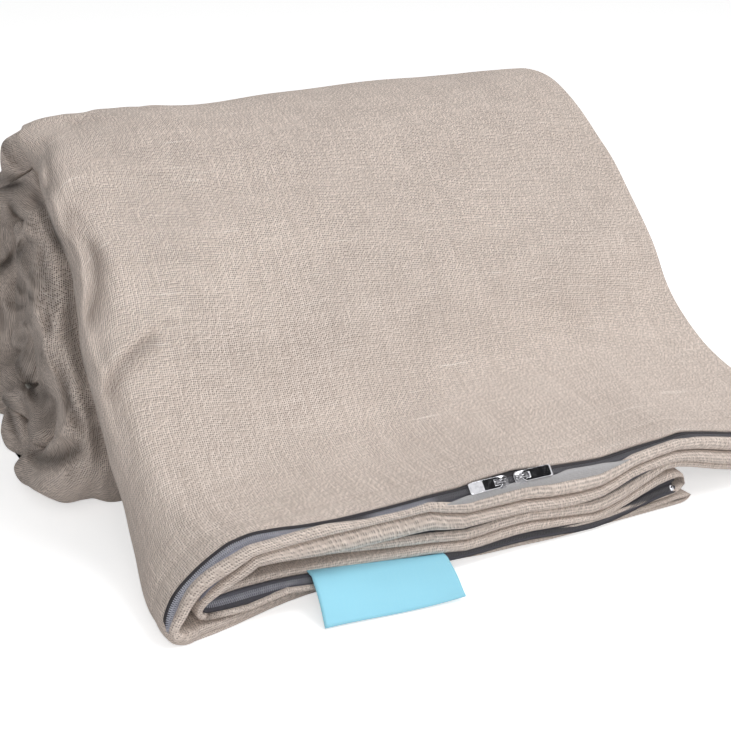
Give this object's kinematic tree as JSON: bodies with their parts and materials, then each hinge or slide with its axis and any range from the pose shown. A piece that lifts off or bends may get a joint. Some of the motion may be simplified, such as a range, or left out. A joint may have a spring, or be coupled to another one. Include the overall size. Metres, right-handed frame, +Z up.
{
  "type": "water cooling blanket",
  "caption": "Quilted blanket with a thin water tube pad inside, folded in quarters and rolled up, with its zipped foot edge open to the front.",
  "frame": {"origin": "under the middle of the rolled blanket's box, on the surface it rests on", "axes": "+X along the roll to the right, -Y towards the zipped foot edge, +Z up"},
  "size_m": [0.3788, 0.378, 0.1845],
  "materials": {
    "linen": "woven, matt",
    "wadding": "soft, matt",
    "pad_fabric": "coated, satin",
    "tape_fabric": "woven tape",
    "coil_nylon": "satin",
    "guard_fabric": "woven tape",
    "label_satin": "satin",
    "chrome": "polished",
    "port_plastic": "moulded"
  },
  "bodies": {
    "blanket": {"cover_top_panel": "linen", "cover_bottom_panel": "linen", "weighted_fill_layer": "wadding", "water_tube_pad": "pad_fabric", "zipper_tape_upper": "tape_fabric", "zipper_tape_lower": "tape_fabric", "zipper_coil_upper": "coil_nylon", "zipper_coil_lower": "coil_nylon", "zipper_stop_first": "chrome", "zipper_stop_last": "chrome", "zipper_guard_strip": "guard_fabric", "loop_label": "label_satin", "water_manifold": "port_plastic", "inlet_port": "port_plastic", "outlet_port": "port_plastic"},
    "slider_left": {"slider_left_body": "chrome"},
    "slider_left_pull": {"slider_left_pull": "chrome"},
    "slider_right": {"slider_right_body": "chrome"},
    "slider_right_pull": {"slider_right_pull": "chrome"}
  },
  "joints": [
    {"name": "slider_left_slide", "type": "slide", "parent": "blanket", "child": "slider_left", "axis": [-0.9913, 0.1314, 0], "range_m": [0, 0.08]},
    {"name": "slider_left_pull_hinge", "type": "hinge", "parent": "slider_left", "child": "slider_left_pull", "pos_m": [-0.02486, -0.15755, 0.04072], "axis": [0.0925, 0.6979, 0.7102], "range_deg": [0, 100]},
    {"name": "slider_right_slide", "type": "slide", "parent": "blanket", "child": "slider_right", "axis": [0.9913, -0.1314, 0], "range_m": [0, 0.08]},
    {"name": "slider_right_pull_hinge", "type": "hinge", "parent": "slider_right", "child": "slider_right_pull", "pos_m": [-0.0127, -0.15916, 0.04072], "axis": [-0.0925, -0.6979, -0.7102], "range_deg": [0, 100]}
  ]
}
